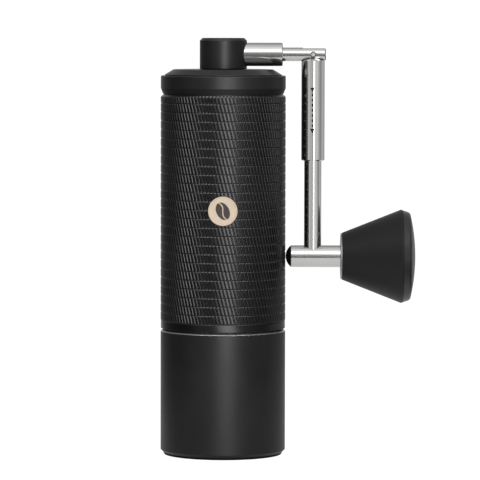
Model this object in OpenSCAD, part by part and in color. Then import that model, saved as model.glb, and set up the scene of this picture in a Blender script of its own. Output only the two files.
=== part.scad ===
// Hand crank coffee grinder: a screw-together body that holds a conical burr
// set on a vertical shaft, and a crank whose arm folds down beside the body.
// Origin: centre of the base. +Z up, +X towards the folded arm, badge on -Y.

/* [Body] */
// Outer diameter of the barrel, the top ring and the grounds cup
body_d = 53; // [52.5:0.5:54]
// Height of the grounds cup's wall
cup_h = 52.1; // [46:0.1:60]
// Height of the knurled barrel
barrel_h = 99.4; // [90:0.1:110]
// Height of the smooth ring above the barrel
ring_h = 7.7; // [7:0.1:9]
// Height of the lid that shows above the ring
lid_h = 2.4; // [2:0.1:3]
// Diameter of the round badge
badge_d = 12.3; // [8:0.1:14]

/* [Knurled rows] */
// Number of V grooves around the barrel
groove_count = 26; // [4:1:26]
// Distance from one groove to the next
groove_pitch = 3.69; // [2:0.01:3.69]
// Width of a groove at the surface
groove_w = 0.9; // [0.4:0.1:1.2]
// Depth of a groove
groove_depth = 0.3; // [0.1:0.05:0.5]

/* [Crank] */
// Diameter of the black hub on the lid
hub_d = 20; // [19:0.5:22]
// Height of the hub
hub_h = 13.15; // [12.6:0.05:16]
// Diameter of the thick end of the crank stub
stub_d = 10; // [9.8:0.1:10.4]
// Diameter of the stub's slim end
slim_d = 5.9; // [5.8:0.05:6]
// Distance of the folding pin from the body's axis
pin_x = 38; // [37.5:0.1:40]
// Distance from the folding pin to the cross tube's axis
arm_l = 85.6; // [80:0.1:95]
// Diameter of the arm rod
rod_d = 7.4; // [7.4:0.05:7.8]
// Diameter of the sliding lock sleeve
sleeve_d = 10; // [9.6:0.1:10.2]
// Length of the lock sleeve
sleeve_l = 43.3; // [38:0.1:44]
// Diameter of the cross tube that carries the knob
cross_d = 9.4; // [8.8:0.1:9.6]

/* [Knob] */
// Diameter of the knob's small end
knob_small_d = 20.1; // [19:0.1:22]
// Diameter of the knob's widest edge
knob_large_d = 39.7; // [36:0.1:44]
// Length of the knob's cone
cone_l = 25.1; // [24.5:0.1:30]

/* [Burrs] */
// Largest diameter of the inner burr
burr_d = 38; // [36:0.5:38]
// Number of fine teeth around each burr
tooth_count = 30; // [12:1:36]
// Number of clicks in one turn of the adjusting dial
click_count = 12; // [6:1:16]

/* [Hidden] */
$fn = 96;
body_r = body_d / 2;
black = [0.07, 0.07, 0.075];
rubber_black = [0.04, 0.04, 0.04];
steel = [0.78, 0.78, 0.77];
dark_steel = [0.42, 0.42, 0.44];
aluminium = [0.62, 0.63, 0.65];
natural = [0.86, 0.85, 0.8];
gold = [0.9, 0.8, 0.68];
brown = [0.24, 0.19, 0.16];

// Heights, from the base up
pad_h = 0.9;
cup_top_z = pad_h + cup_h;
barrel_z = cup_top_z + 0.4;
barrel_top_z = barrel_z + barrel_h;
ring_z = barrel_top_z + 0.4;
ring_top_z = ring_z + ring_h;
lid_z = ring_top_z + 0.2;
lid_top_z = lid_z + lid_h;
hub_z = lid_top_z + 0.15;
crank_z = hub_z + 6.25;
knob_z = crank_z - arm_l;
badge_z = barrel_z + 51.3;

// Inside the body
fit = 0.05;
shell_bore = body_r - 3.5;
seat_bore = shell_bore + 0.55;
flange_r = body_r - 1.6;
neck_r = body_r - 2.9;
neck_z = barrel_z - 9.5;
thread_h = 0.4;
thread_pitch = 2.2;
cup_bore = body_r - 2;
cup_floor_z = pad_h + 3.1;
carrier_top_z = barrel_z + 35;
bracket_z = barrel_top_z - 15.65;
bracket_h = 10;
arm_w = 4;
arm_angles = [90, 210, 330];
spoke_h = 7;

// 607 ball bearing: 7 mm bore, 19 mm outside, 6 mm wide
bearing_r = 9.5;
bearing_h = 6;
shaft_r = 3.5;
outer_land_r = 7.4;
inner_land_r = 5.6;
ball_r = 1.5;
ball_track_r = 6.5;
ball_count = 7;
lower_bearing_z = barrel_z + 20;
upper_bearing_z = bracket_z + 2.95;

// Burrs, dial and shaft
burr_z = barrel_z - 7;
burr_r = burr_d / 2;
burr_gap = 0.45;
throat_z = burr_z + 22;
cone_top_z = burr_z + 21;
cone_mid = [burr_r - 6.3, burr_z + 11];
cone_low = [burr_r, burr_z + 1.5];
seat_r = burr_r + 2.9;
burr_screw_ring_r = 18.6;
burr_screw_angles = [30, 150, 270];
flat_w = 5.6;
flat_fit = 0.06;
plate_z = burr_z - 1.4;
plate_r = 9.5;
dial_top_z = plate_z - 0.2;
dial_h = 11.4;
dial_r = 12.5;
click_ring_r = 7;
click_z = dial_top_z - 0.3;
tail_r = 3;
tail_top_z = burr_z - 4;
shaft_low_z = dial_top_z - dial_h - 2;
shaft_top_z = lid_top_z - 4.6;
hex_af = 6;

// Lid and hub
lid_rim_r = body_r - 1.7;
lid_flat_r = body_r - 5.3;
ring_bore = body_r - 4.45;
spigot_r = ring_bore - 0.65;
seal_z = lid_z - 2.9;
seal_r = 0.75;
bushing_r = 8.55;
bushing_z = lid_z - 5;
stem_r = 7;
stem_z = lid_z - 11.6;
hex_low_z = stem_z - 0.5;
stem_fit = 0.08;
clip_z = bushing_z - 1.2;

// Crank stub, arm and sleeve, measured from the folding pin
stub_end_x = pin_x - 12.85;
fork_x = pin_x - 4.3;
fork_end_x = pin_x + 5.4;
fork_half_h = 2.6;
fork_slot_w = 2.2;
slot_x = pin_x - 2.8;
pin_r = 1.18;
tang_w = 2;
tang_r = 2.5;
tang_l = 6.15;
stem_neck_r = 2.9;
shoulder_z = crank_z - 24;
sleeve_top_z = crank_z - 1.7;
sleeve_low_z = crank_z - 1.7 - sleeve_l;
sleeve_land = 5;
sleeve_dome_r = 8.5;

// Cross tube and knob, along X
cross_r = cross_d / 2;
tube_x = pin_x - 9.4;
tube_end_x = pin_x + 13;
axle_x = pin_x - 2;
knob_x = pin_x + 12.42;
journal_r = 3;
bush_r = 4.48;
bush_l = 6;
knob_seam_x = knob_x + cone_l + 0.7;
knob_tip_x = knob_seam_x + 5.4;
knob_face_r = 17.6;
knob_dome_h = 2;
recess_r = 14;
recess_x = knob_x + 20.4;

// ---- shared shapes ----

// A plain ring about Z
module ring(r_in, r_out, z, h) {
    rotate_extrude()
        translate([r_in, z])
            square([r_out - r_in, h]);
}

// A ring of round wire about Z
module torus(r, wire_r, z) {
    rotate_extrude()
        translate([r, z])
            circle(r = wire_r);
}

// Puts children that are drawn up Z along +X, starting at x and height z
module along_x(x, z) {
    translate([x, 0, z])
        rotate([0, 90, 0])
            children();
}

// Three radial spokes between two radii
module spokes(r_in, r_out, z, h) {
    for (a = arm_angles)
        rotate([0, 0, a])
            translate([r_in, -arm_w / 2, z])
                cube([r_out - r_in, arm_w, h]);
}

// An open retaining ring with a gap towards -X
module snap_ring(r_in, r_out, z, h) {
    difference() {
        ring(r_in, r_out, z, h);
        translate([-r_out - 1, -1.5, z - 1])
            cube([r_out, 3, h + 2]);
    }
}

// A round bar with two flats, r in radius and w across the flats
module flatted_bar(r, w, z, h) {
    intersection() {
        translate([0, 0, z])
            cylinder(r = r, h = h);
        translate([-r - 1, -w / 2, z])
            cube([2 * r + 2, w, h]);
    }
}

// A coil spring of round wire about Z
module coil_spring(r, wire_r, z, h, turns, steps = 14, sides = 6) {
    n = turns * steps;
    rise = (h - 2 * wire_r) / n;
    points = [
        for (i = [0 : n], k = [0 : sides - 1])
            let (a = 360 * i / steps, b = 360 * k / sides)
                [
                    (r + wire_r * cos(b)) * cos(a),
                    (r + wire_r * cos(b)) * sin(a),
                    z + wire_r + rise * i + wire_r * sin(b)
                ]
    ];
    walls = [
        for (i = [0 : n - 1], k = [0 : sides - 1])
            let (
                j = (k + 1) % sides,
                near = [i * sides + k, i * sides + j],
                far = [(i + 1) * sides + k, (i + 1) * sides + j]
            )
                each [[near[0], near[1], far[1]], [near[0], far[1], far[0]]]
    ];
    first_end = [for (k = [sides - 1 : -1 : 0]) k];
    last_end = [for (k = [0 : sides - 1]) n * sides + k];
    polyhedron(points, concat(walls, [first_end], [last_end]), convexity = 10);
}

// Points of a V groove in a wall of radius r
function v_groove(r, z) = [
    [r, z - groove_w / 2],
    [r - groove_depth, z],
    [r, z + groove_w / 2]
];

// Points of a thread ridge from radius r to r + h, at height z
function ridge(r, h, z) = [
    [r, z - 0.5],
    [r + h, z - 0.15],
    [r + h, z + 0.15],
    [r, z + 0.5]
];

// Points on a circular arc between two angles
function arc(centre, r, a0, a1, n) = [
    for (i = [0 : n])
        let (a = a0 + (a1 - a0) * i / n)
            [centre[0] + r * cos(a), centre[1] + r * sin(a)]
];

// ---- barrel ----

module barrel_shell() {
    first_groove_z = barrel_top_z - 3.5 - groove_pitch * (groove_count - 1);
    grooves = [
        for (i = [0 : groove_count - 1])
            each v_groove(body_r, first_groove_z + groove_pitch * i)
    ];
    band_r = body_r - 0.1;
    outside = concat(
        [
            [band_r - 0.8, barrel_z],
            [band_r, barrel_z + 0.45],
            [band_r, first_groove_z - groove_w / 2]
        ],
        grooves,
        [
            [body_r, barrel_top_z - 0.9],
            [body_r - 0.85, barrel_top_z]
        ]
    );
    inside = [
        [seat_bore, barrel_top_z],
        [seat_bore, bracket_z - fit],
        [shell_bore, bracket_z - fit],
        [shell_bore, carrier_top_z + fit],
        [seat_bore, carrier_top_z + fit],
        [seat_bore, barrel_z + 2.55],
        [flange_r + fit, barrel_z + 2.55],
        [flange_r + fit, barrel_z]
    ];
    color(black)
        difference() {
            rotate_extrude()
                polygon(concat(outside, inside));
            translate([0, -body_r + 1.3, badge_z])
                rotate([90, 0, 0])
                    cylinder(d = badge_d + 0.2, h = 5);
        }
}

module top_ring() {
    color(black)
        rotate_extrude()
            polygon([
                [ring_bore - 0.45, bracket_z + bracket_h + fit],
                [seat_bore - fit, bracket_z + bracket_h + fit],
                [seat_bore - fit, barrel_top_z + fit],
                [body_r - 1.3, barrel_top_z + fit],
                [body_r - 1.3, ring_z],
                [body_r - 0.95, ring_z],
                [body_r, ring_z + 2.4],
                [body_r, ring_top_z - 0.35],
                [body_r - 0.35, ring_top_z],
                [ring_bore + 0.45, ring_top_z],
                [ring_bore, ring_top_z - 0.5],
                [ring_bore, ring_z - 2],
                [ring_bore - 0.45, ring_z - 2.5]
            ]);
}

module badge() {
    face_y = -body_r + 0.15;
    rim_h = 0.15;
    color(gold)
        translate([0, face_y, badge_z])
            rotate([90, 0, 0])
                rotate_extrude()
                    polygon([
                        [0, -1.1],
                        [badge_d / 2, -1.1],
                        [badge_d / 2, -0.1],
                        [badge_d / 2 - 0.1, 0],
                        [badge_d / 2 - 0.5, 0],
                        [badge_d / 2 - 0.6, -rim_h],
                        [0, -rim_h]
                    ]);
}

// A coffee bean: an oval split along a curved line
module badge_emblem() {
    bean_l = 3.9;
    bean_w = 2.7;
    split_w = 0.5;
    wave = 0.75;
    steps = 24;
    oval = [
        for (i = [0 : 2 * steps - 1])
            let (a = 180 * i / steps)
                [bean_w * cos(a), bean_l * sin(a)]
    ];
    split = concat(
        [
            for (i = [0 : steps])
                let (t = 2 * i / steps - 1)
                    [wave * sin(180 * t) - split_w / 2, t * (bean_l + 0.2)]
        ],
        [
            for (i = [0 : steps])
                let (t = 1 - 2 * i / steps)
                    [wave * sin(180 * t) + split_w / 2, t * (bean_l + 0.2)]
        ]
    );
    color(brown)
        translate([0, -body_r + 0.3, badge_z])
            rotate([90, -28, 0])
                linear_extrude(height = 0.1)
                    difference() {
                        polygon(oval);
                        polygon(split);
                    }
}

module bearing_bracket() {
    hub_r = bearing_r + 2;
    color(dark_steel)
        difference() {
            union() {
                ring(shell_bore - 2, seat_bore - fit, bracket_z, bracket_h);
                ring(shaft_r + 0.5, hub_r, bracket_z + 1.45, 8);
                spokes(hub_r - 1, shell_bore - 1.5, bracket_z + 1.45, spoke_h - 1);
            }
            translate([0, 0, upper_bearing_z])
                cylinder(r = bearing_r + 0.02, h = 10);
            translate([0, 0, bracket_z])
                cylinder(r = outer_land_r, h = 5);
        }
}

module outer_race(z) {
    difference() {
        ring(outer_land_r, bearing_r, z, bearing_h);
        torus(ball_track_r, ball_r + fit, z + bearing_h / 2);
    }
}

module inner_race(z) {
    difference() {
        ring(shaft_r + 0.02, inner_land_r, z, bearing_h);
        torus(ball_track_r, ball_r + fit, z + bearing_h / 2);
    }
}

module bearing_balls(z) {
    for (i = [0 : ball_count - 1])
        rotate([0, 0, 360 * i / ball_count])
            translate([ball_track_r, 0, z + bearing_h / 2])
                sphere(r = ball_r);
}

module upper_bearing_outer_race() {
    color(steel)
        outer_race(upper_bearing_z);
}

module upper_bearing_inner_race() {
    color(steel)
        inner_race(upper_bearing_z);
}

module upper_bearing_balls() {
    color(steel)
        bearing_balls(upper_bearing_z);
}

module lower_bearing_outer_race() {
    color(steel)
        outer_race(lower_bearing_z);
}

module lower_bearing_inner_race() {
    color(steel)
        inner_race(lower_bearing_z);
}

module lower_bearing_balls() {
    color(steel)
        bearing_balls(lower_bearing_z);
}

// The threaded neck, the burr seat and the lower bearing's hub in one casting
module burr_carrier() {
    hub_r = bearing_r + 1.5;
    funnel_r = seat_r - 1.5;
    mouth_r = burr_r - 2.7;
    shelf_z = throat_z + 2.5;
    neck_ridges = [
        for (i = [0 : 2])
            each ridge(neck_r, thread_h, neck_z + 2.1 + thread_pitch * i)
    ];
    profile = concat(
        [
            [seat_r + fit, neck_z],
            [neck_r - 0.5, neck_z],
            [neck_r, neck_z + 0.5]
        ],
        neck_ridges,
        [
            [neck_r, barrel_z],
            [flange_r, barrel_z],
            [flange_r, barrel_z + 2.5],
            [seat_bore - fit, barrel_z + 2.5],
            [seat_bore - fit, carrier_top_z],
            [seat_bore - 0.35, carrier_top_z],
            [funnel_r, carrier_top_z - 7.5],
            [funnel_r, shelf_z + 5.5],
            [mouth_r, shelf_z],
            [mouth_r, throat_z + fit],
            [seat_r + fit, throat_z + fit]
        ]
    );
    color(aluminium)
        difference() {
            union() {
                rotate_extrude()
                    polygon(profile);
                translate([0, 0, lower_bearing_z - 0.5])
                    cylinder(r = hub_r, h = 7.5);
                translate([0, 0, lower_bearing_z + 7])
                    cylinder(r1 = hub_r, r2 = shaft_r + 1.5, h = 2.5);
                spokes(hub_r - 1, funnel_r + 1, lower_bearing_z, spoke_h);
            }
            translate([0, 0, lower_bearing_z - 1])
                cylinder(r = bearing_r + 0.02, h = bearing_h + 1);
            translate([0, 0, lower_bearing_z])
                cylinder(r = shaft_r + 0.4, h = 12);
            for (a = burr_screw_angles)
                rotate([0, 0, a])
                    translate([burr_screw_ring_r, 0, throat_z]) {
                        cylinder(r = 1.35, h = 6);
                        translate([0, 0, 2.8])
                            cylinder(r = 2.4, h = 6);
                    }
        }
}

// A slanted bar laid along the cone from point a to point b, for cutting teeth
module tooth_cutter(a, b, width, depth, skew) {
    run = b - a;
    mid = (a + b) / 2;
    translate([mid[0], 0, mid[1]])
        rotate([0, atan2(run[0], run[1]), 0])
            rotate([skew, 0, 0])
                cube([depth, width, norm(run) + 3], center = true);
}

module outer_burr() {
    low = cone_low + [burr_gap, 0];
    fine_z = burr_z + 6.7;
    slope = (cone_low[0] - cone_mid[0]) / (cone_mid[1] - cone_low[1]);
    fine_top = [low[0] - slope * (fine_z - low[1]), fine_z];
    color(dark_steel)
        difference() {
            rotate_extrude()
                polygon([
                    [seat_r, burr_z + 0.5],
                    [seat_r, throat_z],
                    [burr_r - 3.1, throat_z],
                    [burr_r - 3.4, burr_z + 14],
                    fine_top,
                    low,
                    [low[0], burr_z + 0.5]
                ]);
            for (i = [0 : tooth_count - 1])
                rotate([0, 0, 360 * (i + 0.5) / tooth_count])
                    tooth_cutter(low, fine_top, 1.1, 1.2, -14);
            for (i = [0 : 7])
                rotate([0, 0, 360 * i / 8])
                    tooth_cutter(fine_top, [burr_r - 3.1, throat_z], 3, 1.8, -14);
            for (a = burr_screw_angles)
                rotate([0, 0, a])
                    translate([burr_screw_ring_r, 0, throat_z - 6])
                        cylinder(r = 1.25, h = 7);
        }
}

module outer_burr_screws() {
    shank_l = 8.2;
    head_h = 1.6;
    color(steel)
        for (a = burr_screw_angles)
            rotate([0, 0, a])
                translate([burr_screw_ring_r, 0, throat_z + 2.8])
                    difference() {
                        union() {
                            translate([0, 0, -shank_l])
                                cylinder(r = 1.2, h = shank_l + 0.5);
                            translate([0, 0, 0.02])
                                cylinder(r = 2.25, h = head_h);
                        }
                        translate([0, 0, 0.7])
                            cylinder(r = 1.15, h = 2, $fn = 6);
                    }
}

// ---- lid ----

module lid() {
    color(black)
        difference() {
            rotate_extrude()
                polygon([
                    [bushing_r + fit, lid_z - 3.9],
                    [bushing_r + 2, lid_z - 3.9],
                    [bushing_r + 2, lid_z],
                    [spigot_r - 1.5, lid_z],
                    [spigot_r - 1.5, lid_z - 5.6],
                    [spigot_r - 0.4, lid_z - 5.6],
                    [spigot_r, lid_z - 5.2],
                    [spigot_r, lid_z],
                    [lid_rim_r, lid_z],
                    [lid_rim_r, lid_z + 0.2],
                    [lid_flat_r, lid_top_z],
                    [bushing_r + fit, lid_top_z]
                ]);
            torus(spigot_r - 0.2, seal_r + 0.03, seal_z);
        }
}

module lid_bushing() {
    color(natural)
        rotate_extrude()
            polygon([
                [stem_r + stem_fit, bushing_z],
                [bushing_r + 1.4, bushing_z],
                [bushing_r + 1.4, bushing_z + 1.05],
                [bushing_r, bushing_z + 1.05],
                [bushing_r, lid_top_z - 0.1],
                [stem_r + stem_fit, lid_top_z - 0.1]
            ]);
}

module lid_seal() {
    color(rubber_black)
        torus(spigot_r - 0.2, seal_r, seal_z);
}

// ---- crank ----

module crank_hub() {
    bevel = 1.1;
    hub_r = hub_d / 2;
    hub_top_z = hub_z + hub_h;
    color(black)
        difference() {
            rotate_extrude()
                polygon([
                    [0, stem_z],
                    [stem_r - 0.4, stem_z],
                    [stem_r, stem_z + 0.4],
                    [stem_r, clip_z],
                    [stem_r - 0.7, clip_z],
                    [stem_r - 0.7, clip_z + 1],
                    [stem_r, clip_z + 1],
                    [stem_r, hub_z],
                    [hub_r - 0.3, hub_z],
                    [hub_r, hub_z + 0.3],
                    [hub_r, hub_top_z - bevel],
                    [hub_r - bevel, hub_top_z],
                    [0, hub_top_z]
                ]);
            translate([0, 0, stem_z - 1])
                cylinder(d = (hex_af + 0.2) / cos(30), h = shaft_top_z - stem_z + 2, $fn = 6);
            along_x(-6.5, crank_z)
                cylinder(r = stub_d / 2 + 0.02, h = 30);
        }
}

// One turned bar: thick where it leaves the hub, slim, then a flatted fork
module crank_stub() {
    bevel = 0.3;
    stub_r = stub_d / 2;
    slim_r = slim_d / 2;
    thick_l = stub_end_x + 6;
    fork_l = fork_end_x - fork_x;
    color(steel)
        difference() {
            union() {
                along_x(-6, crank_z)
                    rotate_extrude()
                        polygon([
                            [0, 0],
                            [stub_r, 0],
                            [stub_r, thick_l - bevel],
                            [stub_r - bevel, thick_l],
                            [slim_r, thick_l],
                            [slim_r, fork_x + 6],
                            [0, fork_x + 6]
                        ]);
                intersection() {
                    along_x(fork_x - 1, crank_z)
                        rotate_extrude()
                            polygon([
                                [0, 0],
                                [slim_r, 0],
                                [slim_r, fork_l + 0.6],
                                [slim_r - 0.4, fork_l + 1],
                                [0, fork_l + 1]
                            ]);
                    translate([fork_x - 1, -slim_r - 1, crank_z - fork_half_h])
                        cube([fork_l + 2, 2 * slim_r + 2, 2 * fork_half_h]);
                }
            }
            translate([slot_x, -fork_slot_w / 2, crank_z - slim_r - 1])
                cube([fork_l + 2, fork_slot_w, 2 * slim_r + 2]);
            translate([pin_x, 0, crank_z])
                rotate([90, 0, 0])
                    cylinder(r = pin_r + 0.02, h = 20, center = true);
        }
}

module hub_retaining_ring() {
    color(steel)
        snap_ring(stem_r - 0.65, stem_r + 1.3, clip_z + fit, 0.9);
}

module hinge_pin() {
    pin_l = slim_d - 0.1;
    bevel = 0.2;
    color(steel)
        translate([pin_x, pin_l / 2, crank_z])
            rotate([90, 0, 0])
                rotate_extrude()
                    polygon([
                        [0, 0],
                        [pin_r - bevel, 0],
                        [pin_r, bevel],
                        [pin_r, pin_l - bevel],
                        [pin_r - bevel, pin_l],
                        [0, pin_l]
                    ]);
}

// ---- folding arm ----

module arm_rod() {
    rod_r = rod_d / 2;
    tenon_r = 2;
    color(steel)
        difference() {
            union() {
                difference() {
                    translate([pin_x, 0, knob_z + 2.2])
                        rotate_extrude()
                            polygon([
                                [0, 0],
                                [rod_r, 0],
                                [rod_r, shoulder_z - knob_z - 2.5],
                                [rod_r - 0.3, shoulder_z - knob_z - 2.2],
                                [stem_neck_r, shoulder_z - knob_z - 2.2],
                                [stem_neck_r, crank_z - tang_l - knob_z - 2.2],
                                [0, crank_z - tang_l - knob_z - 2.2]
                            ]);
                    along_x(0, knob_z)
                        cylinder(r = cross_r + 0.02, h = 60);
                }
                translate([pin_x, 0, knob_z + 3.2])
                    cylinder(r = tenon_r, h = 3);
                translate([pin_x - tang_r, -tang_w / 2, crank_z - tang_l - 1])
                    cube([2 * tang_r, tang_w, tang_l + 1]);
                translate([pin_x, 0, crank_z])
                    rotate([90, 0, 0])
                        cylinder(r = tang_r, h = tang_w, center = true);
            }
            translate([pin_x, 0, crank_z])
                rotate([90, 0, 0])
                    cylinder(r = pin_r + 0.06, h = 10, center = true);
        }
}

module cross_tube() {
    bevel = 0.3;
    tube_l = tube_end_x - tube_x;
    color(steel)
        difference() {
            along_x(tube_x, knob_z)
                rotate_extrude()
                    polygon([
                        [0, 0],
                        [cross_r - bevel, 0],
                        [cross_r, bevel],
                        [cross_r, tube_l],
                        [0, tube_l]
                    ]);
            along_x(tube_x - 1, knob_z)
                cylinder(r = 1.5, h = 4.2);
            along_x(axle_x, knob_z)
                cylinder(r = 2.5, h = 20);
            translate([pin_x, 0, knob_z + 3.1])
                cylinder(r = 2.03, h = 5);
        }
}

module bumper() {
    dome_h = tube_x - body_r - 0.08;
    dome_r = 4.4;
    sphere_r = (dome_r * dome_r + dome_h * dome_h) / (2 * dome_h);
    color(rubber_black)
        along_x(tube_x, knob_z) {
            intersection() {
                translate([0, 0, sphere_r - dome_h])
                    sphere(r = sphere_r);
                translate([0, 0, -dome_h - 1])
                    cylinder(r = dome_r, h = dome_h + 1);
            }
            translate([0, 0, -0.5])
                cylinder(r = 1.45, h = 3.5);
        }
}

module knob_axle() {
    color(steel)
        along_x(axle_x + 0.1, knob_z)
            difference() {
                union() {
                    cylinder(r = 2.48, h = tube_end_x - axle_x);
                    translate([0, 0, tube_end_x - axle_x])
                        cylinder(r = journal_r, h = 20);
                }
                translate([0, 0, tube_end_x - axle_x + 12])
                    cylinder(r = 1.55, h = 9);
            }
}

module knob_end_washer() {
    color(steel)
        along_x(tube_end_x + 20.15, knob_z)
            ring(1.6, 5.6, 0, 0.6);
}

module knob_end_screw() {
    color(dark_steel)
        along_x(tube_end_x + 20.8, knob_z)
            difference() {
                union() {
                    translate([0, 0, -7])
                        cylinder(r = 1.5, h = 7.5);
                    cylinder(r = 2.75, h = 2.4);
                }
                translate([0, 0, 1])
                    cylinder(r = 1.3, h = 2, $fn = 6);
            }
}

module sleeve_spring() {
    color(dark_steel)
        translate([pin_x, 0, 0])
            coil_spring(3.38, 0.3, shoulder_z + 0.05, 16.9, 11);
}

// ---- lock sleeve ----

module lock_sleeve() {
    r = sleeve_d / 2;
    bevel = 0.4;
    dome_z = crank_z - 2.7 - sqrt(sleeve_dome_r * sleeve_dome_r - r * r);
    color(steel)
        difference() {
            translate([pin_x, 0, 0])
                intersection() {
                    rotate_extrude()
                        polygon([
                            [0, sleeve_low_z],
                            [r - bevel, sleeve_low_z],
                            [r, sleeve_low_z + bevel],
                            [r, sleeve_top_z],
                            [0, sleeve_top_z]
                        ]);
                    union() {
                        translate([0, 0, dome_z])
                            sphere(r = sleeve_dome_r);
                        translate([0, 0, sleeve_low_z - 1])
                            cylinder(r = r + 1, h = dome_z - sleeve_low_z + 1);
                    }
                }
            translate([pin_x, 0, sleeve_low_z - 1])
                cylinder(r = slim_d / 2 + 0.1, h = sleeve_l + 2);
            translate([pin_x, 0, sleeve_low_z - 1])
                cylinder(r = rod_d / 2 + 0.1, h = sleeve_l + 1 - sleeve_land);
            along_x(pin_x - 10, crank_z)
                cylinder(r = slim_d / 2 + 0.3, h = fork_x - pin_x + 10.1);
            intersection() {
                along_x(pin_x - 10, crank_z)
                    cylinder(r = slim_d / 2 + 0.3, h = 20);
                translate([pin_x - 10, -10, crank_z - fork_half_h - 0.1])
                    cube([20, 20, 10]);
            }
        }
}

// ---- knob ----

module knob_body() {
    small_r = knob_small_d / 2;
    large_r = knob_large_d / 2;
    bush_fit = bush_r + 0.02;
    color(black)
        along_x(knob_x, knob_z)
            rotate_extrude()
                polygon([
                    [tube_end_x - knob_x + 4.3, 0],
                    [small_r - 0.25, 0],
                    [small_r, 0.25],
                    [large_r, cone_l],
                    [large_r - 0.15, cone_l + 0.6],
                    [recess_r, cone_l + 0.6],
                    [recess_r, recess_x - knob_x],
                    [bush_fit, recess_x - knob_x],
                    [bush_fit, recess_x - knob_x - bush_l],
                    [journal_r + 0.6, recess_x - knob_x - bush_l],
                    [journal_r + 0.6, bush_l + 1.1],
                    [bush_fit, bush_l + 1.1],
                    [bush_fit, 0.9],
                    [tube_end_x - knob_x + 4.3, 0.9]
                ]);
}

module knob_cap() {
    large_r = knob_large_d / 2;
    face_x = knob_tip_x - knob_seam_x - knob_dome_h;
    dome_r = (knob_face_r * knob_face_r + knob_dome_h * knob_dome_h) / (2 * knob_dome_h);
    half_angle = asin(knob_face_r / dome_r);
    dome = arc([0, knob_tip_x - knob_seam_x - dome_r], dome_r, 90 - half_angle, 90, 8);
    color(black)
        along_x(knob_seam_x, knob_z)
            rotate_extrude()
                polygon(concat(
                    [
                        [0, 1.4],
                        [recess_r - 1.3, 1.4],
                        [recess_r - 1.3, -3.6],
                        [recess_r - fit, -3.6],
                        [recess_r - fit, 0],
                        [large_r - 0.25, 0],
                        [large_r - 1.05, 2.45],
                        [large_r - 1.5, 3.1]
                    ],
                    dome
                ));
}

module knob_face_washer() {
    color(steel)
        along_x(knob_x - 0.6, knob_z)
            rotate_extrude()
                polygon([
                    [cross_r + 0.35, 0],
                    [knob_small_d / 2 - 0.55, 0],
                    [knob_small_d / 2 - 0.2, 0.25],
                    [knob_small_d / 2 - 0.2, 0.58],
                    [cross_r + 0.35, 0.58]
                ]);
}

module knob_bushings() {
    color(natural) {
        along_x(knob_x + 1.05, knob_z)
            ring(journal_r + 0.05, bush_r, 0, bush_l);
        along_x(recess_x - bush_l + 0.02, knob_z)
            ring(journal_r + 0.05, bush_r, 0, bush_l);
    }
}

// ---- shaft ----

module drive_shaft() {
    groove_z = upper_bearing_z + bearing_h;
    color(steel)
        difference() {
            union() {
                translate([0, 0, shaft_low_z])
                    cylinder(r = tail_r, h = tail_top_z - shaft_low_z + 1);
                flatted_bar(shaft_r, flat_w, tail_top_z, lower_bearing_z - tail_top_z);
                translate([0, 0, lower_bearing_z - 0.1])
                    cylinder(r = shaft_r, h = hex_low_z - lower_bearing_z + 0.1);
                translate([0, 0, hex_low_z - 0.5])
                    cylinder(d = hex_af / cos(30), h = shaft_top_z - hex_low_z + 0.5, $fn = 6);
            }
            ring(shaft_r - 0.45, shaft_r + 1, groove_z, 1);
        }
}

module shaft_retaining_ring() {
    color(dark_steel)
        snap_ring(shaft_r - 0.42, inner_land_r, upper_bearing_z + bearing_h + fit, 0.9);
}

module burr_spring() {
    color(dark_steel)
        coil_spring(4.6, 0.4, cone_top_z + 0.05, 5.9, 3);
}

// ---- inner burr and adjusting dial ----

module inner_burr() {
    top_r = 7;
    hub_top = [top_r, cone_top_z];
    color(dark_steel)
        difference() {
            rotate_extrude()
                polygon([
                    [0, burr_z],
                    [burr_r - 0.4, burr_z],
                    [burr_r, burr_z + 0.4],
                    cone_low,
                    cone_mid,
                    hub_top,
                    [0, cone_top_z]
                ]);
            for (i = [0 : tooth_count - 1])
                rotate([0, 0, 360 * i / tooth_count])
                    tooth_cutter(cone_low, cone_mid, 1.1, 1.2, 14);
            for (i = [0 : 5])
                rotate([0, 0, 60 * i])
                    tooth_cutter(cone_mid, hub_top, 3.2, 3, 24);
            flatted_bar(shaft_r + flat_fit, flat_w + 2 * flat_fit, burr_z - 1, 24);
        }
}

module click_plate() {
    color(steel)
        difference() {
            translate([0, 0, plate_z])
                cylinder(r = plate_r, h = 1.35);
            torus(click_ring_r, 1.15, click_z);
            for (i = [0 : click_count - 1])
                rotate([0, 0, 360 * i / click_count])
                    translate([click_ring_r, 0, click_z + 0.2])
                        sphere(r = 1.2);
            flatted_bar(shaft_r + flat_fit, flat_w + 2 * flat_fit, plate_z - 1, 4);
        }
}

module adjusting_dial() {
    grip_count = 10;
    dial_z = dial_top_z - dial_h;
    color(aluminium)
        difference() {
            translate([0, 0, dial_z])
                rotate_extrude()
                    polygon([
                        [0, 0],
                        [dial_r - 0.8, 0],
                        [dial_r, 0.8],
                        [dial_r, dial_h - 2],
                        [dial_r - 1.5, dial_h],
                        [0, dial_h]
                    ]);
            translate([0, 0, dial_z - 1])
                cylinder(r = tail_r + 0.1, h = dial_h + 2);
            translate([0, 0, tail_top_z - 0.3])
                cylinder(r = shaft_r + 0.1, h = 5);
            for (i = [0 : grip_count - 1])
                rotate([0, 0, 360 * (i + 0.5) / grip_count])
                    translate([dial_r + 0.9, 0, dial_z - 1])
                        cylinder(r = 2, h = dial_h - 2);
            for (a = [0, 180])
                rotate([0, 0, a])
                    translate([click_ring_r, 0, dial_top_z - 7])
                        cylinder(r = 1.1, h = 8);
        }
}

module click_balls() {
    color(steel)
        for (a = [0, 180])
            rotate([0, 0, a])
                translate([click_ring_r, 0, click_z])
                    sphere(r = 1);
}

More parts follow.
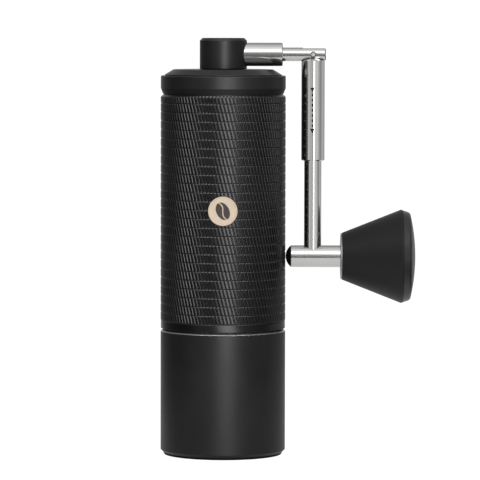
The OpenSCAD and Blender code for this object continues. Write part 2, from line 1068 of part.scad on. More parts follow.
module click_springs() {
    color(dark_steel)
        for (a = [0, 180])
            rotate([0, 0, a])
                translate([click_ring_r, 0, 0])
                    coil_spring(0.75, 0.18, dial_top_z - 6.9, 5.5, 6, 10, 5);
}

// ---- grounds cup ----

module grounds_cup() {
    cup_ridges = [
        for (i = [1 : -1 : 0])
            each [
                for (p = ridge(0, 0.35, 0))
                    [cup_bore - p[0], neck_z + 3.2 + thread_pitch * i - p[1]]
            ]
    ];
    color(black)
        rotate_extrude()
            polygon(concat(
                [
                    [0, pad_h + 1.5],
                    [body_r - 3.45, pad_h + 1.5],
                    [body_r - 3.45, pad_h],
                    [body_r - 1.2, pad_h],
                    [body_r, pad_h + 1.2],
                    [body_r, cup_top_z - 0.45],
                    [body_r - 0.8, cup_top_z],
                    [cup_bore + 0.4, cup_top_z],
                    [cup_bore, cup_top_z - 0.4]
                ],
                cup_ridges,
                [
                    [cup_bore, cup_floor_z + 3],
                    [cup_bore - 0.9, cup_floor_z + 0.9],
                    [cup_bore - 3, cup_floor_z],
                    [0, cup_floor_z]
                ]
            ));
}

module base_pad() {
    pad_r = body_r - 1.35;
    color(rubber_black)
        rotate_extrude()
            polygon([
                [0, 0],
                [pad_r - 0.3, 0],
                [pad_r, 0.3],
                [pad_r, pad_h - fit],
                [body_r - 3.5, pad_h - fit],
                [body_r - 3.5, pad_h + 1.4],
                [0, pad_h + 1.4]
            ]);
}

barrel_shell();
top_ring();
badge();
badge_emblem();
bearing_bracket();
upper_bearing_outer_race();
upper_bearing_balls();
burr_carrier();
lower_bearing_outer_race();
lower_bearing_balls();
outer_burr();
outer_burr_screws();
lid();
lid_bushing();
lid_seal();
crank_hub();
crank_stub();
hub_retaining_ring();
hinge_pin();
arm_rod();
cross_tube();
bumper();
knob_axle();
knob_end_washer();
knob_end_screw();
sleeve_spring();
lock_sleeve();
knob_body();
knob_cap();
knob_face_washer();
knob_bushings();
drive_shaft();
upper_bearing_inner_race();
lower_bearing_inner_race();
shaft_retaining_ring();
burr_spring();
inner_burr();
click_plate();
adjusting_dial();
click_balls();
click_springs();
grounds_cup();
base_pad();
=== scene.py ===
"""Hand crank coffee grinder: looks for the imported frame.

Gives every CAD node its finish, replaces the barrel's tube with a knurled one and the sleeve's
spring with a swept coil, prints the sleeve's arrows, and sets up the studio and the camera.
"""

import math

import bpy
from mathutils import Matrix, Vector


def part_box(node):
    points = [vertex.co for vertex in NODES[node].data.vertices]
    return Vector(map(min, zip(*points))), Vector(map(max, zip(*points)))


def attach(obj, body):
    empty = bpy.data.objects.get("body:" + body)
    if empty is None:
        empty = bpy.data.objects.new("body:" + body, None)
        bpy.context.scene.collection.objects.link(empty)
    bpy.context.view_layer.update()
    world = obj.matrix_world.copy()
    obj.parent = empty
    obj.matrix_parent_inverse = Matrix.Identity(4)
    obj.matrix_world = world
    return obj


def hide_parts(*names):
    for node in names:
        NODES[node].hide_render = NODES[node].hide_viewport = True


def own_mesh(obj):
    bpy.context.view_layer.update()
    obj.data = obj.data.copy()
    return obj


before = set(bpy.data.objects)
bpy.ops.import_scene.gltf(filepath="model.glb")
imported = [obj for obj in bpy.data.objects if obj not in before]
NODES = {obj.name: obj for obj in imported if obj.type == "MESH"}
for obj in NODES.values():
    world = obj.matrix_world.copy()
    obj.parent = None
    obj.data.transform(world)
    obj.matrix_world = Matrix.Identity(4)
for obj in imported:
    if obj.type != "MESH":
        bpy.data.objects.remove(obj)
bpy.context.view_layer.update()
MM = 0.001
X, Y, Z = 0, 1, 2

# ---- Sizes, in metres, read from the frame ----

barrel_lo, barrel_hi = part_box("barrel_shell")
BODY_R = barrel_hi.x
sleeve_lo, sleeve_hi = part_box("lock_sleeve")
SLEEVE_R = (sleeve_hi.x - sleeve_lo.x) / 2
ARM_X = (sleeve_hi.x + sleeve_lo.x) / 2
badge_lo, badge_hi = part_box("badge")
BADGE_Z = (badge_lo.z + badge_hi.z) / 2
BADGE_R = (badge_hi.x - badge_lo.x) / 2

# ---- Knurl: slanted flutes all round, notched by V rings ----

FLUTES = 108
FLUTE_W = 0.76 * MM
FLUTE_DEPTH = 0.29 * MM
# Across a flute: its easy left wall down to the bend, that wall in all, and its steep right wall
FLUTE_BEND = 0.14 * MM
FLUTE_EASY = 0.38 * MM
FLUTE_STEEP = 0.13 * MM
FLUTE_LEAN = math.radians(14.3)
RINGS = 26
RING_PITCH = 3.69 * MM
RING_W = 0.7 * MM
RING_DEPTH = 0.25 * MM
# From the barrel's top down to its highest ring
TOP_LAND = 3.5 * MM

# ---- Colours and their limits on a piece ----

BLACK = (0.0036, 0.0036, 0.0038)
BLACK_WORN = (0.0054, 0.0054, 0.0056)
STEEL = (0.69, 0.685, 0.675)
STEEL_DULL = (0.65, 0.645, 0.635)
BARE_METAL = (0.47, 0.47, 0.47)
# Dark painted on the hinge pin round its end, as shade where its bevel meets its hole
PIN_PAINTED_SHADE = (0.03, 0.03, 0.03)
# The cup's height share under its bare top chamfer
CUP_RIM = 0.991
# The radius of the hinge pin's end left free of painted shade, as a share of its diameter
PIN_UNSHADED_SHARE = 0.36
# Noise lies between these values over most of a surface
NOISE_LOW, NOISE_HIGH = 0.3, 0.7


# ---- Node helpers ----


def new_material(name):
    material = bpy.data.materials.new(name)
    material.use_nodes = True
    tree = material.node_tree
    tree.nodes.clear()
    out = tree.nodes.new("ShaderNodeOutputMaterial")
    surface = tree.nodes.new("ShaderNodeBsdfPrincipled")
    tree.links.new(surface.outputs["BSDF"], out.inputs["Surface"])
    return material, tree, surface


def put(tree, kind, links=None, values=None, **settings):
    """Adds a node, sets its properties and values, and links its inputs."""
    node = tree.nodes.new("ShaderNode" + kind)
    for key, value in settings.items():
        setattr(node, key, value)
    for key, value in (values or {}).items():
        node.inputs[key].default_value = value
    for key, socket in (links or {}).items():
        tree.links.new(socket, node.inputs[key])
    return node


def place(tree, scale):
    """The point's place on the object in metres, stretched by scale."""
    coords = put(tree, "TexCoord")
    mapping = put(tree, "Mapping", links={"Vector": coords.outputs["Object"]})
    mapping.inputs["Scale"].default_value = scale
    return mapping.outputs["Vector"]


def noise(tree, scale, detail=3.0, roughness=0.55):
    """Noise with this many lumps a metre along X, Y and Z."""
    node = put(
        tree,
        "TexNoise",
        links={"Vector": place(tree, scale)},
        values={"Scale": 1.0, "Detail": detail, "Roughness": roughness},
    )
    return node.outputs["Fac"]


def spread(tree, value, low, high):
    """Turns noise around 0.5 into a value from low to high."""
    node = put(
        tree,
        "MapRange",
        links={"Value": value},
        values={"From Min": NOISE_LOW, "From Max": NOISE_HIGH, "To Min": low, "To Max": high},
    )
    return node.outputs["Result"]


def tint(tree, surface, pattern, first, second, most=1.0):
    """Base colour that runs with the pattern from first to this much of second."""
    node = put(tree, "Mix", data_type="RGBA")
    tree.links.new(spread(tree, pattern, 0.0, most), node.inputs["Factor"])
    node.inputs["A"].default_value = (*first, 1)
    node.inputs["B"].default_value = (*second, 1)
    tree.links.new(node.outputs["Result"], surface.inputs["Base Color"])


def roughen(tree, surface, pattern, low, high, marks=None, share=0.0):
    """Roughness that runs with the pattern from low to high, plus a share of the fine marks."""
    value = spread(tree, pattern, low, high)
    if marks is not None:
        mixed = put(tree, "Math", operation="MULTIPLY_ADD", links={0: marks}, values={1: share})
        tree.links.new(value, mixed.inputs[2])
        value = mixed.outputs["Value"]
    tree.links.new(value, surface.inputs["Roughness"])


def paint_over(material, where, colour):
    """Changes the base colour to another one where a 0 or 1 value says so."""
    tree = material.node_tree
    base = tree.nodes["Principled BSDF"].inputs["Base Color"]
    shade = put(tree, "Mix", data_type="RGBA", values={"B": (*colour, 1)})
    tree.links.new(where, shade.inputs["Factor"])
    tree.links.new(base.links[0].from_socket, shade.inputs["A"])
    tree.links.new(shade.outputs["Result"], base)


def bump(tree, surface, height, distance, strength, edge=0.0):
    """Bump in metres, over edges rounded by edge."""
    node = put(
        tree,
        "Bump",
        links={"Height": height},
        values={"Distance": distance, "Strength": strength},
    )
    if edge > 0:
        rounded = put(tree, "Bevel", samples=4, values={"Radius": edge})
        tree.links.new(rounded.outputs["Normal"], node.inputs["Normal"])
    tree.links.new(node.outputs["Normal"], surface.inputs["Normal"])


# ---- Finishes ----


def coated(name, dark, light, rough, level, grain, edge=0.12 * MM):
    """A dark coat over metal or plastic: fine blasted grain, handled patches, soft edges."""
    material, tree, surface = new_material(name)
    fine = noise(tree, (1 / grain,) * 3, detail=2.0)
    patches = noise(tree, (70, 70, 45), detail=4.0, roughness=0.6)
    tint(tree, surface, patches, dark, light)
    roughen(tree, surface, patches, rough - 0.06, rough, marks=fine, share=0.08)
    surface.inputs["Specular IOR Level"].default_value = level
    bump(tree, surface, fine, distance=0.02 * MM, strength=0.5, edge=edge)
    return material


def cut_back(material, share):
    """Leaves bare metal above this share of the piece's height, where its coat is cut back."""
    tree = material.node_tree
    coords = put(tree, "TexCoord")
    height = put(tree, "SeparateXYZ", links={"Vector": coords.outputs["Generated"]}).outputs["Z"]
    bare = put(tree, "Math", operation="GREATER_THAN", links={0: height}, values={1: share})
    paint_over(material, bare.outputs[0], BARE_METAL)
    tree.links.new(bare.outputs[0], tree.nodes["Principled BSDF"].inputs["Metallic"])
    return material


def paint_pin_shade(material, share):
    """Paints shade on a pin outside this share of its size, standing in for the shade where its
    bevel meets its hole.
    """
    tree = material.node_tree
    coords = put(tree, "TexCoord")
    middle = put(tree, "Mapping", links={"Vector": coords.outputs["Generated"]})
    middle.inputs["Location"].default_value = (-0.5, 0, -0.5)
    middle.inputs["Scale"].default_value = (1, 0, 1)
    far = put(tree, "VectorMath", operation="LENGTH", links={0: middle.outputs["Vector"]})
    # Mask of the painted shade: 1 outside the share, 0 inside it
    edge = put(tree, "Math", operation="GREATER_THAN", links={0: far.outputs["Value"]})
    edge.inputs[1].default_value = share
    paint_over(material, edge.outputs[0], PIN_PAINTED_SHADE)
    return material


def turned_metal(name, colour, dull, rough, along, edge=0.08 * MM):
    """Bare metal with fine marks that run round the piece's long axis."""
    material, tree, surface = new_material(name)
    around, across = 120.0, 9000.0
    stretch = [around] * 3
    stretch[along] = across
    marks = noise(tree, tuple(stretch), detail=4.0, roughness=0.7)
    smears = noise(tree, (90, 90, 60), detail=3.0, roughness=0.5)
    tint(tree, surface, smears, colour, dull)
    surface.inputs["Metallic"].default_value = 1.0
    roughen(tree, surface, smears, rough - 0.015, rough, marks=marks, share=0.06)
    bump(tree, surface, marks, distance=0.004 * MM, strength=0.15, edge=edge)
    return material


def rubber(name, colour, level):
    """Matt rubber: fine lumps, and a little dust that makes it paler."""
    material, tree, surface = new_material(name)
    lumps = noise(tree, (2200,) * 3, detail=3.0)
    dust = noise(tree, (160,) * 3, detail=4.0, roughness=0.6)
    paler = tuple(c * 2.2 + 0.002 for c in colour)
    tint(tree, surface, dust, colour, paler, most=0.6)
    roughen(tree, surface, dust, 0.62, 0.8)
    surface.inputs["Specular IOR Level"].default_value = level
    bump(tree, surface, lumps, distance=0.03 * MM, strength=0.5, edge=0.15 * MM)
    return material


def cast_metal(name, colour, dull, rough):
    """Sand-cast or sintered metal: pitted grain and uneven tone."""
    material, tree, surface = new_material(name)
    pits = noise(tree, (1500,) * 3, detail=5.0, roughness=0.7)
    patches = noise(tree, (120,) * 3, detail=4.0)
    tint(tree, surface, patches, colour, dull)
    surface.inputs["Metallic"].default_value = 1.0
    roughen(tree, surface, pits, rough - 0.08, rough + 0.1)
    bump(tree, surface, pits, distance=0.04 * MM, strength=0.6, edge=0.15 * MM)
    return material


def moulded(name, colour, dull, rough):
    """Natural engineering plastic, slightly waxy."""
    material, tree, surface = new_material(name)
    flow = noise(tree, (300, 300, 120), detail=4.0)
    tint(tree, surface, flow, colour, dull)
    roughen(tree, surface, flow, rough - 0.05, rough + 0.08)
    surface.inputs["Subsurface Weight"].default_value = 0.1
    surface.inputs["Subsurface Scale"].default_value = 0.8 * MM
    bump(tree, surface, flow, distance=0.02 * MM, strength=0.3, edge=0.1 * MM)
    return material


def champagne_metal():
    """The badge: pale gold anodised over a fine brushed grain."""
    material, tree, surface = new_material("champagne")
    brushed = noise(tree, (9000, 300, 500), detail=3.0, roughness=0.6)
    tone = noise(tree, (400,) * 3, detail=3.0)
    tint(tree, surface, tone, (0.8, 0.655, 0.5), (0.73, 0.6, 0.455))
    surface.inputs["Metallic"].default_value = 0.35
    roughen(tree, surface, brushed, 0.36, 0.48)
    bump(tree, surface, brushed, distance=0.006 * MM, strength=0.4, edge=0.08 * MM)
    return material


def enamel(name, colour):
    """Thin matt paint or print with a faint grain."""
    material, tree, surface = new_material(name)
    grain = noise(tree, (1800,) * 3, detail=3.0)
    paler = tuple(c * 1.35 for c in colour)
    tint(tree, surface, grain, colour, paler)
    roughen(tree, surface, grain, 0.45, 0.6)
    surface.inputs["Specular IOR Level"].default_value = 0.15
    bump(tree, surface, grain, distance=0.01 * MM, strength=0.4)
    return material


def satin(name):
    """The smooth coat of the lid, the top ring, the hub and the cup."""
    return coated(name, BLACK, BLACK_WORN, rough=0.4, level=0.21, grain=0.35 * MM)


FINISH = {
    "knurled_black": coated(
        "knurled_black",
        (0.0008,) * 3,
        (0.0018,) * 3,
        rough=0.27,
        level=0.25,
        grain=0.3 * MM,
        edge=0.03 * MM,
    ),
    "satin_black": satin("satin_black"),
    "rimmed_black": cut_back(satin("rimmed_black"), CUP_RIM),
    "knob_black": coated(
        "knob_black",
        (0.006,) * 3,
        (0.0095,) * 3,
        rough=0.5,
        level=0.3,
        grain=0.5 * MM,
        edge=0.2 * MM,
    ),
    "cap_black": coated(
        "cap_black",
        (0.009,) * 3,
        (0.014,) * 3,
        rough=0.36,
        level=0.6,
        grain=0.5 * MM,
        edge=0.2 * MM,
    ),
    "black_rubber": rubber("black_rubber", (0.002,) * 3, level=0.12),
    "steel_upright": turned_metal("steel_upright", STEEL, STEEL_DULL, rough=0.09, along=Z),
    "steel_level": turned_metal("steel_level", STEEL, STEEL_DULL, rough=0.09, along=X),
    "bearing_steel": turned_metal("bearing_steel", (0.62,) * 3, (0.5,) * 3, rough=0.16, along=Z),
    "spring_steel": turned_metal("spring_steel", (0.42,) * 3, (0.33,) * 3, rough=0.28, along=Z),
    # The hinge pin's turned steel, with shade painted round its end
    "pin_steel_painted_shade": paint_pin_shade(
        turned_metal("pin_steel_painted_shade", (0.6,) * 3, (0.5,) * 3, rough=0.2, along=Y), PIN_UNSHADED_SHARE
    ),
    "burr_steel": cast_metal("burr_steel", (0.4, 0.4, 0.41), (0.3, 0.3, 0.31), rough=0.32),
    "cast_aluminium": cast_metal("cast_aluminium", (0.6, 0.6, 0.61), (0.48,) * 3, rough=0.42),
    "dark_metal": cast_metal("dark_metal", (0.22,) * 3, (0.15,) * 3, rough=0.4),
    "champagne": champagne_metal(),
    "emblem_brown": enamel("emblem_brown", (0.075, 0.062, 0.062)),
    "printed_black": enamel("printed_black", (0.006,) * 3),
    "natural_plastic": moulded(
        "natural_plastic", (0.72, 0.68, 0.58), (0.64, 0.6, 0.5), rough=0.45
    ),
}

NODE_FINISH = {
    "satin_black": ["top_ring", "lid", "crank_hub"],
    "rimmed_black": ["grounds_cup"],
    "knurled_black": ["barrel_shell"],
    "knob_black": ["knob_body"],
    "cap_black": ["knob_cap"],
    "black_rubber": ["bumper", "base_pad", "lid_seal"],
    "steel_upright": ["arm_rod", "lock_sleeve", "drive_shaft"],
    "steel_level": ["crank_stub", "cross_tube", "knob_axle"],
    "bearing_steel": [
        "upper_bearing_outer_race",
        "upper_bearing_inner_race",
        "upper_bearing_balls",
        "lower_bearing_outer_race",
        "lower_bearing_inner_race",
        "lower_bearing_balls",
        "click_balls",
        "click_plate",
        "outer_burr_screws",
        "knob_end_screw",
        "knob_end_washer",
    ],
    "pin_steel_painted_shade": ["hinge_pin"],
    "spring_steel": [
        "knob_face_washer",
        "sleeve_spring",
        "burr_spring",
        "click_springs",
        "hub_retaining_ring",
        "shaft_retaining_ring",
    ],
    "burr_steel": ["outer_burr", "inner_burr"],
    "cast_aluminium": ["adjusting_dial", "bearing_bracket"],
    "dark_metal": ["burr_carrier"],
    "champagne": ["badge"],
    "emblem_brown": ["badge_emblem"],
    "natural_plastic": ["lid_bushing", "knob_bushings"],
}


def finish_nodes():
    """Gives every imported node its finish."""
    for finish, names in NODE_FINISH.items():
        for name in names:
            for slot in NODES[name].material_slots:
                slot.material = FINISH[finish]


# ---- Meshes ----


def new_piece(name, vertices, faces, finish, body):
    """A mesh object in this finish, which rides on the body."""
    mesh = bpy.data.meshes.new(name)
    mesh.from_pydata([tuple(v) for v in vertices], [], faces)
    mesh.update()
    mesh.materials.append(FINISH[finish])
    piece = bpy.data.objects.new(name, mesh)
    bpy.context.scene.collection.objects.link(piece)
    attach(piece, body)
    return piece


def barrel_rows():
    """The barrel's wall as (z, radius, fluted, crisp) rows, up the outside and down the inside."""
    low, high = barrel_lo.z, barrel_hi.z
    first = high - TOP_LAND - RING_PITCH * (RINGS - 1)
    half = RING_W / 2
    # The smooth band below the lowest ring, and its foot's chamfer
    band_r = BODY_R - 0.1 * MM
    foot_z, foot_r = 0.45 * MM, 0.8 * MM
    rows = [
        (low, band_r - foot_r, False, True),
        (low + foot_z, band_r, False, True),
        (first - half, band_r, False, True),
    ]
    for i in range(RINGS):
        z = first + RING_PITCH * i
        above_band = i > 0
        if above_band:
            rows.append((z - half, BODY_R, True, True))
        rows.append((z, BODY_R - RING_DEPTH, above_band, True))
        rows.append((z + half, BODY_R, True, True))
    # The top chamfer, with a row where the flutes run out of it
    chamfer_z, chamfer_r = 0.9 * MM, 0.85 * MM
    run_out = chamfer_z * (1 - FLUTE_DEPTH / chamfer_r)
    rows += [
        (high - chamfer_z, BODY_R, True, True),
        (high - run_out, BODY_R - FLUTE_DEPTH, False, False),
        (high, BODY_R - chamfer_r, False, True),
    ]
    # The inside, as in the CAD tube: a bore between two seats, and a mouth for a flange
    seat, bore, mouth = BODY_R - 2.95 * MM, BODY_R - 3.5 * MM, BODY_R - 1.55 * MM
    ledge_z, step_z, mouth_z = high - 15.7 * MM, low + 35.05 * MM, low + 2.55 * MM
    inside = [
        (high, seat),
        (ledge_z, seat),
        (ledge_z, bore),
        (step_z, bore),
        (step_z, seat),
        (mouth_z, seat),
        (mouth_z, mouth),
        (low, mouth),
    ]
    return rows + [(z, r, False, True) for z, r in inside]


def knurled_barrel():
    """The barrel as one closed wall of leaning flutes and rings, with the badge's pocket."""
    pitch = 2 * math.pi / FLUTES
    half = FLUTE_W / 2 / BODY_R
    # Columns as (angle within a flute's pitch, share of the flute's depth there)
    across = [
        (-half, 0.0),
        (-half + FLUTE_BEND / BODY_R, 0.5),
        (-half + FLUTE_EASY / BODY_R, 1.0),
        (half - FLUTE_STEEP / BODY_R, 1.0),
        (half, 0.0),
        (pitch / 2, 0.0),
    ]
    columns = [(pitch * i + a, depth) for i in range(FLUTES) for a, depth in across]
    rows = barrel_rows()
    count = len(columns)
    vertices = []
    for z, radius, fluted, _ in rows:
        turn = -(z - barrel_lo.z) * math.tan(FLUTE_LEAN) / BODY_R
        for angle, depth in columns:
            r = min(radius, BODY_R - FLUTE_DEPTH * depth) if fluted else radius
            vertices.append((r * math.sin(angle + turn), -r * math.cos(angle + turn), z))
    faces = []
    for i in range(len(rows)):
        near, far = i * count, (i + 1) % len(rows) * count
        for k in range(count):
            n = (k + 1) % count
            faces.append((near + k, near + n, far + n, far + k))
    piece = new_piece("barrel_knurl", vertices, faces, "knurled_black", "barrel")
    piece.data.polygons.foreach_set("use_smooth", [True] * len(piece.data.polygons))
    crisp_rows = {i for i, (_, _, _, crisp) in enumerate(rows) if crisp}
    # Both lips and the left wall's foot are crisp, and the bends between them are smooth
    crisp_columns = {0, 2, 4}
    for edge in piece.data.edges:
        a, b = edge.vertices
        if a // count == b // count:
            edge.use_edge_sharp = a // count in crisp_rows
        else:
            edge.use_edge_sharp = a % len(across) in crisp_columns
    cut_pocket(piece)
    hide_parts("barrel_shell")
    return piece


def cut_pocket(piece):
    """Cuts the badge's round pocket into the barrel's front."""
    depth, clearance, reach = 1.3 * MM, 0.1 * MM, 4 * MM
    bpy.ops.mesh.primitive_cylinder_add(
        vertices=96,
        radius=BADGE_R + clearance,
        depth=reach,
        location=(0, -BODY_R + depth - reach / 2, BADGE_Z),
        rotation=(math.pi / 2, 0, 0),
    )
    cutter = bpy.context.active_object
    modifier = piece.modifiers.new("pocket", "BOOLEAN")
    modifier.operation = "DIFFERENCE"
    modifier.solver = "MANIFOLD"
    modifier.object = cutter
    graph = bpy.context.evaluated_depsgraph_get()
    mesh = bpy.data.meshes.new_from_object(piece.evaluated_get(graph), depsgraph=graph)
    piece.modifiers.clear()
    old, piece.data = piece.data, mesh
    bpy.data.meshes.remove(old)
    bpy.data.objects.remove(cutter, do_unlink=True)


def coil(name, centre, radius, wire, z, height, turns, finish, body, node):
    """A spring about an upright axis, of round wire of this radius, in place of a CAD node."""
    steps, sides = 40, 12
    total = turns * steps
    rise = (height - 2 * wire) / total
    vertices = []
    for i in range(total + 1):
        turn = 2 * math.pi * i / steps
        for k in range(sides):
            around = 2 * math.pi * k / sides
            r = radius + wire * math.cos(around)
            up = z + wire + rise * i + wire * math.sin(around)
            vertices.append((centre + r * math.cos(turn), r * math.sin(turn), up))
    faces = [tuple(reversed(range(sides))), tuple(range(total * sides, (total + 1) * sides))]
    for i in range(total):
        for k in range(sides):
            a, b = i * sides + k, i * sides + (k + 1) % sides
            faces.append((a, b, b + sides, a + sides))
    piece = new_piece(name, vertices, faces, finish, body)
    piece.data.polygons.foreach_set("use_smooth", [True] * len(piece.data.polygons))
    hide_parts(node)
    return piece


def sleeve_spring():
    """The sleeve's return spring."""
    lo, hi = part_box("sleeve_spring")
    wire = 0.3 * MM
    radius = (hi.x - lo.x) / 2 - wire
    height = hi.z - lo.z
    piece = coil(
        "sleeve_coil",
        centre=ARM_X,
        radius=radius,
        wire=wire,
        z=lo.z,
        height=height,
        turns=11,
        finish="spring_steel",
        body="arm",
        node="sleeve_spring",
    )
    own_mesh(piece)


def sleeve_mark(name, strips, z):
    """A thin printed mark round the sleeve's front, from (across, low, high) strips about z."""
    gap, film = 0.004 * MM, 0.02 * MM
    vertices = []
    for across, low, high in strips:
        angle = across / SLEEVE_R
        for r in (SLEEVE_R + gap, SLEEVE_R + gap + film):
            for up in (low, high):
                vertices.append((ARM_X + r * math.sin(angle), -r * math.cos(angle), z + up))
    # Each strip holds its inner low, inner high, outer low and outer high corners
    last = 4 * (len(strips) - 1)
    faces = [(0, 2, 3, 1), (last, last + 1, last + 3, last + 2)]
    for k in range(0, last, 4):
        faces += [(k + a, k + b, k + b + 4, k + a + 4) for a, b in ((0, 1), (1, 3), (3, 2), (2, 0))]
    new_piece(name, vertices, faces, "printed_black", "sleeve")


def sleeve_marks():
    """Two arrows that point the way the sleeve is drawn, with a dashed line between them."""
    # From the sleeve's middle to the marks, and down from its upper end to each arrow
    aside, top_z, low_z = -0.3 * MM, sleeve_hi.z - 13.2 * MM, sleeve_hi.z - 30.5 * MM
    # An arrow's half width, its tip's drop, its corners' rise and its straight upper side
    half, tip, corner, upper, steps = 0.95 * MM, 1.15 * MM, 0.85 * MM, 0.87 * MM, 6
    arrow = []
    for i in range(steps + 1):
        share = 2 * i / steps - 1
        arrow.append((aside + half * share, abs(share) * (tip + corner) - tip, upper))
    sleeve_mark("arrow_top", arrow, top_z)
    sleeve_mark("arrow_low", arrow, low_z)
    dashes, dash_w, dash_h = 7, 0.3 * MM, 0.62 * MM
    dash = [(aside + side * dash_w, -dash_h, dash_h) for side in (-1, 0, 1)]
    for i in range(dashes):
        share = (i + 1) / (dashes + 1)
        sleeve_mark(f"dash_{i + 1}", dash, top_z + (low_z - top_z) * share)


# ---- Studio ----

# The height that every lamp faces
LAMP_AIM_Z = 0.09


def studio_floor():
    """A plain pale table, which lights the object but is left out of the white background."""
    front, narrow, back, wide = 0.3, 0.11, 2.2, 0.4
    mesh = bpy.data.meshes.new("floor")
    corners = [(-narrow, -front, 0), (narrow, -front, 0), (wide, back, 0), (-wide, back, 0)]
    mesh.from_pydata(corners, [], [(0, 1, 2, 3)])
    floor = bpy.data.objects.new("floor", mesh)
    bpy.context.scene.collection.objects.link(floor)
    material = bpy.data.materials.new("floor")
    material.use_nodes = True
    tree = material.node_tree
    tree.nodes.clear()
    out = tree.nodes.new("ShaderNodeOutputMaterial")
    paleness, brightness = 0.35, 0.5
    paper = put(tree, "BsdfDiffuse", values={"Color": (*[paleness] * 3, 1)})
    glow = put(tree, "Emission", values={"Strength": brightness})
    both = put(tree, "AddShader")
    tree.links.new(paper.outputs[0], both.inputs[0])
    tree.links.new(glow.outputs[0], both.inputs[1])
    tree.links.new(both.outputs[0], out.inputs["Surface"])
    mesh.materials.append(material)
    # The cup comes down through the table's level, and stays in view
    floor.visible_camera = False


def ramp(tree, value, stops):
    """A grey ramp through (place, brightness) stops."""
    node = put(tree, "ValToRGB", links={"Fac": value})
    elements = node.color_ramp.elements
    while len(elements) > 1:
        elements.remove(elements[-1])
    elements[0].position = stops[0][0]
    elements[0].color = (*[stops[0][1]] * 3, 1)
    for position, level in stops[1:]:
        elements.new(position).color = (level, level, level, 1)
    return node.outputs["Color"]


def studio_room():
    """The room's light: white behind, bright overhead, dim at the sides, white to the camera."""
    world = bpy.data.worlds.new("studio")
    bpy.context.scene.world = world
    world.use_nodes = True
    tree = world.node_tree
    tree.nodes.clear()
    out = tree.nodes.new("ShaderNodeOutputWorld")
    coords = put(tree, "TexCoord")
    parts = put(tree, "SeparateXYZ", links={"Vector": coords.outputs["Generated"]})
    right, ahead, rise = parts.outputs["X"], parts.outputs["Y"], parts.outputs["Z"]
    front = put(tree, "Math", operation="MULTIPLY", links={0: ahead}, values={1: -1.0}).outputs[0]

    def turn(first, second):
        """The angle of two parts as a share of a whole turn, 0.5 at the camera's side."""
        angle = put(tree, "Math", operation="ARCTAN2")
        tree.links.new(first, angle.inputs[0])
        tree.links.new(second, angle.inputs[1])
        limits = {"From Min": -math.pi, "From Max": math.pi}
        return put(tree, "MapRange", links={"Value": angle.outputs[0]}, values=limits).outputs[0]

    # Brightness round the horizon, from degrees to the right of the camera's side
    horizon = [
        (-180, 1.0),
        (-160, 0.7),
        (-140, 0.3),
        (-115, 0.15),
        (-95, 0.08),
        (-62, 0.1),
        (-50, 0.6),
        (-38, 0.8),
        (-29, 0.55),
        (-12, 0.6),
        (-4, 0.6),
        (-1.5, 0.15),
        (3, 0.15),
        (5, 0.6),
        (30, 0.72),
        (41, 0.85),
        (50, 0.66),
        (61, 0.5),
        (73, 0.36),
        (85, 0.31),
        (99, 0.58),
        (116, 0.58),
        (137, 0.4),
        (160, 0.5),
        (172, 0.9),
        (180, 1.0),
    ]
    # Brightness up over the object, from degrees above the horizon on the camera's side
    arch = [
        (-180, 0.2),
        (-20, 0.12),
        (-6, 0.12),
        (1, 0.2),
        (11, 0.4),
        (18, 0.62),
        (26, 1.1),
        (60, 1.15),
        (75, 0.87),
        (90, 0.72),
        (105, 0.6),
        (126, 0.3),
        (150, 0.5),
        (170, 0.9),
        (180, 1.0),
    ]
    around = ramp(tree, turn(right, front), [((d + 180) / 360, level) for d, level in horizon])
    over = ramp(tree, turn(rise, front), [((d + 180) / 360, level) for d, level in arch])
    aside = put(tree, "Math", operation="ABSOLUTE", links={0: right}).outputs[0]
    tilt = put(tree, "Math", operation="ABSOLUTE", links={0: rise}).outputs[0]
    beyond = put(tree, "Math", operation="SUBTRACT", links={0: aside, 1: tilt}).outputs[0]
    sides = ramp(tree, beyond, [(0.0, 1.0), (0.12, 1.0), (0.45, 0.24), (1.0, 0.15)])
    lit = put(tree, "Mix", data_type="RGBA", blend_type="MULTIPLY", values={"Factor": 1.0})
    tree.links.new(over, lit.inputs["A"])
    tree.links.new(sides, lit.inputs["B"])
    off_level = ramp(tree, tilt, [(0.0, 0.0), (0.09, 0.0), (0.26, 1.0)])
    room = put(tree, "Mix", data_type="RGBA")
    tree.links.new(off_level, room.inputs["Factor"])
    tree.links.new(around, room.inputs["A"])
    tree.links.new(lit.outputs["Result"], room.inputs["B"])
    light = put(tree, "Background", links={"Color": room.outputs["Result"]})
    plain = put(tree, "Background", values={"Color": (1, 1, 1, 1), "Strength": 1.05})
    path = put(tree, "LightPath")
    seen = put(tree, "MixShader", links={0: path.outputs["Is Camera Ray"]})
    tree.links.new(light.outputs[0], seen.inputs[1])
    tree.links.new(plain.outputs[0], seen.inputs[2])
    tree.links.new(seen.outputs[0], out.inputs["Surface"])


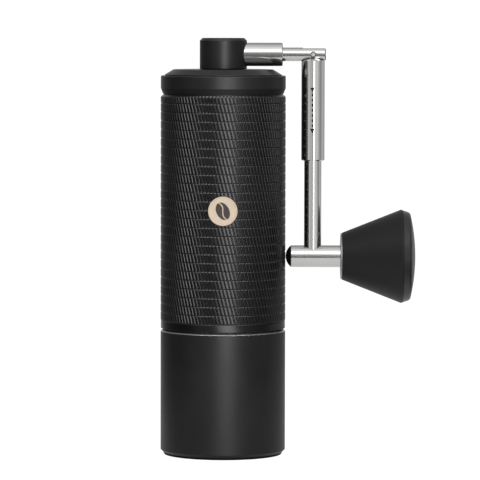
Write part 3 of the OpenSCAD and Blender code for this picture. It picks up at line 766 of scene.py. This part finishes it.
def softbox(name, azimuth, elevation, distance, width, height, brightness):
    """A lamp that faces the object, by degrees right of the camera's side and above the table."""
    a, e = math.radians(azimuth), math.radians(elevation)
    centre = Vector((0, 0, LAMP_AIM_Z))
    away = Vector((math.sin(a) * math.cos(e), -math.cos(a) * math.cos(e), math.sin(e)))
    lamp = bpy.data.lights.new(name, "AREA")
    lamp.shape = "RECTANGLE"
    lamp.size, lamp.size_y = width, height
    lamp.energy = brightness * math.pi * width * height
    thing = bpy.data.objects.new(name, lamp)
    thing.location = centre + away * distance
    thing.rotation_euler = away.to_track_quat("Z", "Y").to_euler()
    thing.visible_camera = False
    bpy.context.scene.collection.objects.link(thing)
    return thing


def studio_lamps(barrel):
    """Two lamps for the whole object, and four that light only the body's black coat."""
    softbox(
        "front_strip", azimuth=12, elevation=2, distance=2.0, width=0.46, height=2.0, brightness=2.6
    )
    softbox(
        "overhead", azimuth=2, elevation=41, distance=0.95, width=1.1, height=0.34, brightness=1.0
    )
    smooth = [NODES[n] for n in NODE_FINISH["satin_black"] + NODE_FINISH["rimmed_black"]]
    groups = [
        ("smooth", smooth, {"azimuth": 6, "width": 0.7, "brightness": 10.0}),
        ("knurl", [barrel], {"azimuth": 8, "width": 1.1, "brightness": 7.2}),
    ]
    for name, pieces, strip in groups:
        lit = bpy.data.collections.new(name + "_pieces")
        for piece in pieces:
            lit.objects.link(piece)
        lamps = [
            softbox(name + "_strip", elevation=2, distance=2.0, height=2.0, **strip),
            softbox(
                name + "_overhead",
                azimuth=0,
                elevation=65,
                distance=0.95,
                width=1.3,
                height=0.5,
                brightness=9.0,
            ),
        ]
        for lamp in lamps:
            lamp.light_linking.receiver_collection = lit


def studio_camera():
    """A long lens a little above the grinder's top, looking slightly down."""
    distance, eye_z, roll = 1.58, 0.1881, 0.002
    target = Vector((0.0072, 0, 0.0911))
    data = bpy.data.cameras.new("camera")
    data.sensor_width = 36
    data.lens = 279.5
    data.clip_start, data.clip_end = 0.05, 50
    camera = bpy.data.objects.new("camera", data)
    camera.location = (target.x, -distance, eye_z)
    aim = (target - camera.location).to_track_quat("-Z", "Y")
    camera.rotation_euler = (aim.to_matrix() @ Matrix.Rotation(roll, 3, "Z")).to_euler()
    bpy.context.scene.collection.objects.link(camera)
    bpy.context.scene.camera = camera


finish_nodes()
barrel_piece = knurled_barrel()
sleeve_spring()
sleeve_marks()
studio_floor()
studio_room()
studio_lamps(barrel_piece)
studio_camera()
bpy.context.scene.view_settings.view_transform = "Standard"
